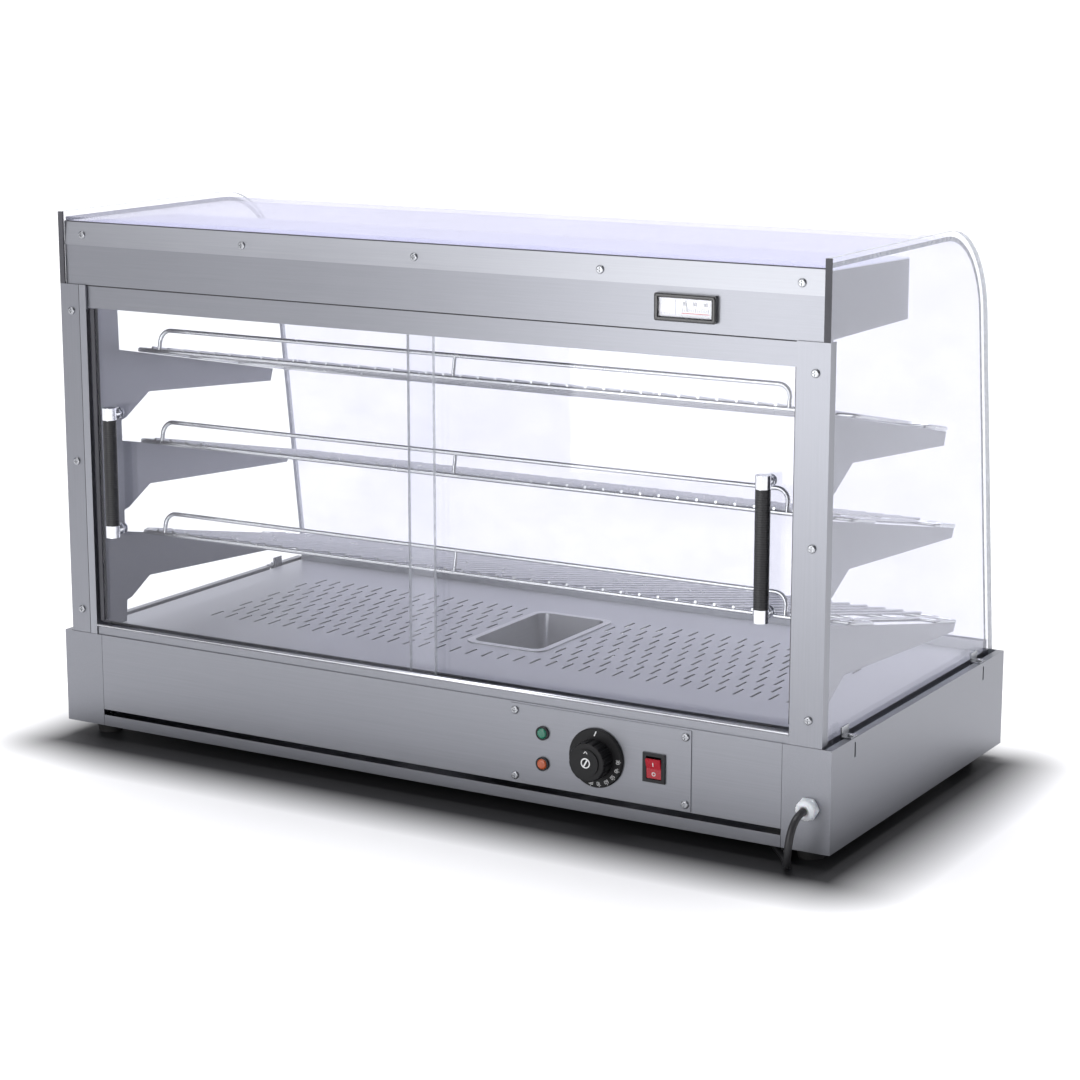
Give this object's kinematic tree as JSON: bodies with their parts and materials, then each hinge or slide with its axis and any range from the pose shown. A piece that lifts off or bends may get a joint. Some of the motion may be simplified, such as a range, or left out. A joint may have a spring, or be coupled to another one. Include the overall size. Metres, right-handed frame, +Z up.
{
  "type": "hot food display case",
  "caption": "Countertop heated glass display case with a curved customer side, sliding service doors, sloping wire racks, a perforated deck with a water pan, and base controls.",
  "frame": {"origin": "on the counter, under the middle of the case without its cord", "axes": "+Z up; +X to the right as seen from the service side; +Y towards the customer side with the curved glass, the doors and controls face -Y"},
  "size_m": [1, 0.6901, 0.624],
  "materials": {
    "stainless": "satin brushed",
    "deck_steel": "satin brushed, perforated",
    "track": "satin anodised",
    "pan_steel": "satin pressed",
    "bright_screws": "bright plated",
    "chrome_trim": "polished",
    "rack_wire": "bright plated wire",
    "clear_glass": "clear polished",
    "seal_rubber": "matt black",
    "foot_rubber": "matt black",
    "grip_black": "satin black",
    "knob_black": "satin black",
    "switch_black": "gloss black",
    "rocker_red": "translucent red",
    "lamp_green": "translucent green",
    "lamp_orange": "translucent orange",
    "nylon_white": "white nylon",
    "dial_white": "printed card",
    "bezel_black": "black frame",
    "heater_tube": "heat-tinted tube",
    "cord_black": "black sheath",
    "shoe_nylon": "low-friction nylon",
    "plastic_inside": "moulded"
  },
  "bodies": {
    "case": {"base_tray": "stainless", "base_side_left": "stainless", "base_side_right": "stainless", "base_front_panel": "stainless", "base_rear_panel": "stainless", "deck_plate": "deck_steel", "feet": "foot_rubber", "foot_screws": "bright_screws", "control_plate": "stainless", "panel_screws": "bright_screws", "lamp_bodies": "chrome_trim", "lamp_lens_green": "lamp_green", "lamp_lens_orange": "lamp_orange", "thermostat_body": "plastic_inside", "switch_housing": "switch_black", "heating_elements": "heater_tube", "heater_brackets": "stainless", "terminal_block": "plastic_inside", "cable_gland": "nylon_white", "post_left": "stainless", "post_right": "stainless", "bracket_left": "stainless", "bracket_right": "stainless", "end_glass_left": "clear_glass", "end_glass_right": "clear_glass", "curved_glass": "clear_glass", "rear_glass_channel": "track", "glass_edge_seals": "seal_rubber", "glass_clips": "bright_screws", "glass_clip_screws": "bright_screws", "door_track_bottom": "track", "door_track_top": "stainless", "canopy_shell": "stainless", "canopy_lid": "stainless", "canopy_fascia": "stainless", "top_strip": "stainless", "thermometer_case": "bezel_black", "thermometer_face": "dial_white", "thermometer_lens": "clear_glass", "power_cord": "cord_black", "cord_coil": "cord_black", "plug_body": "cord_black", "plug_pins": "bright_screws"},
    "left_door": {"door_left_glass": "clear_glass", "door_left_shoes": "shoe_nylon", "door_left_handle_posts": "chrome_trim", "door_left_grip": "grip_black"},
    "right_door": {"door_right_glass": "clear_glass", "door_right_shoes": "shoe_nylon", "door_right_handle_posts": "chrome_trim", "door_right_grip": "grip_black"},
    "knob": {"knob": "knob_black"},
    "rocker": {"switch_rocker": "rocker_red"},
    "pan": {"water_pan": "pan_steel"},
    "top_rack": {"rack_top": "rack_wire"},
    "middle_rack": {"rack_middle": "rack_wire"},
    "bottom_rack": {"rack_bottom": "rack_wire"}
  },
  "joints": [
    {"name": "left_door_slide", "type": "slide", "parent": "case", "child": "left_door", "axis": [1, 0, 0], "range_m": [0, 0.385]},
    {"name": "right_door_slide", "type": "slide", "parent": "case", "child": "right_door", "axis": [1, 0, 0], "range_m": [-0.385, 0]},
    {"name": "knob_turn", "type": "hinge", "parent": "case", "child": "knob", "pos_m": [0.2286, -0.229, 0.0793], "axis": [0, 1, 0], "range_deg": [0, 270]},
    {"name": "rocker_tilt", "type": "hinge", "parent": "case", "child": "rocker", "pos_m": [0.298, -0.221, 0.0787], "axis": [-1, 0, 0], "range_deg": [0, 20]},
    {"name": "pan_lift", "type": "slide", "parent": "case", "child": "pan", "axis": [0, 0, 1], "range_m": [0, 0.04]},
    {"name": "top_rack_lift", "type": "slide", "parent": "case", "child": "top_rack", "axis": [0, 0, 1], "range_m": [0, 0.025]},
    {"name": "middle_rack_lift", "type": "slide", "parent": "case", "child": "middle_rack", "axis": [0, 0, 1], "range_m": [0, 0.025]},
    {"name": "bottom_rack_lift", "type": "slide", "parent": "case", "child": "bottom_rack", "axis": [0, 0, 1], "range_m": [0, 0.025]}
  ]
}
